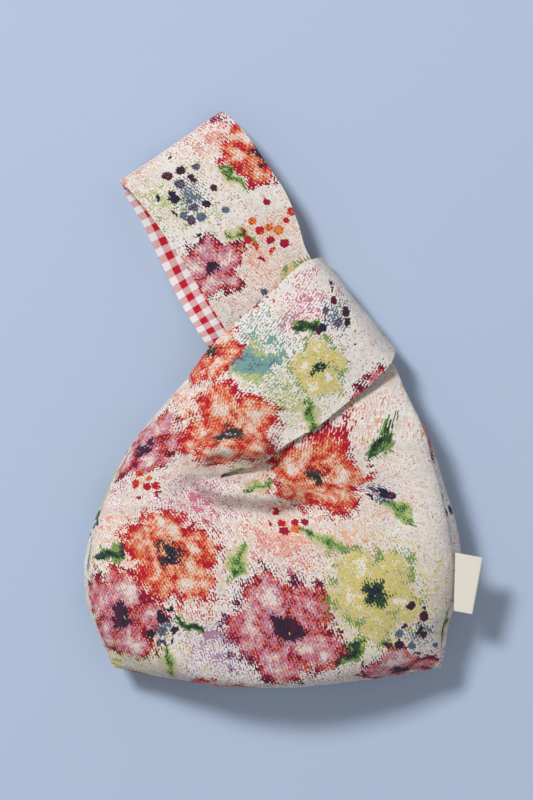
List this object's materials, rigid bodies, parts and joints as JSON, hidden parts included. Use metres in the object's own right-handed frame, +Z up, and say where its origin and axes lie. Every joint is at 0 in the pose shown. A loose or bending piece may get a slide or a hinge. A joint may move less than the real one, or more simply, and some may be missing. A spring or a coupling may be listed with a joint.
{
  "type": "knot bag",
  "caption": "Lined cloth knot bag lying on its back, its long handle drawn through the loop of the short one, which holds the mouth shut, with a folded ribbon tag in the side seam",
  "frame": {"origin": "on the surface the bag lies on, under the middle of the bag's bounding box", "axes": "+X to the right as seen from above with the tag on the right, +Y from the base of the bag towards the long handle, +Z up from the surface through the front panel"},
  "size_m": [0.2611, 0.381, 0.0669],
  "materials": {
    "jacquard": "tapestry weave with a floral pattern on a cream ground",
    "gingham": "plain-woven cotton in red and white checks",
    "ribbon": "smooth cream twill ribbon, bare"
  },
  "bodies": {
    "root": {"front_panel": "jacquard", "back_panel": "jacquard", "long_handle_lining_front": "gingham", "long_handle_lining_back": "gingham", "side_tag": "ribbon"}
  },
  "joints": []
}
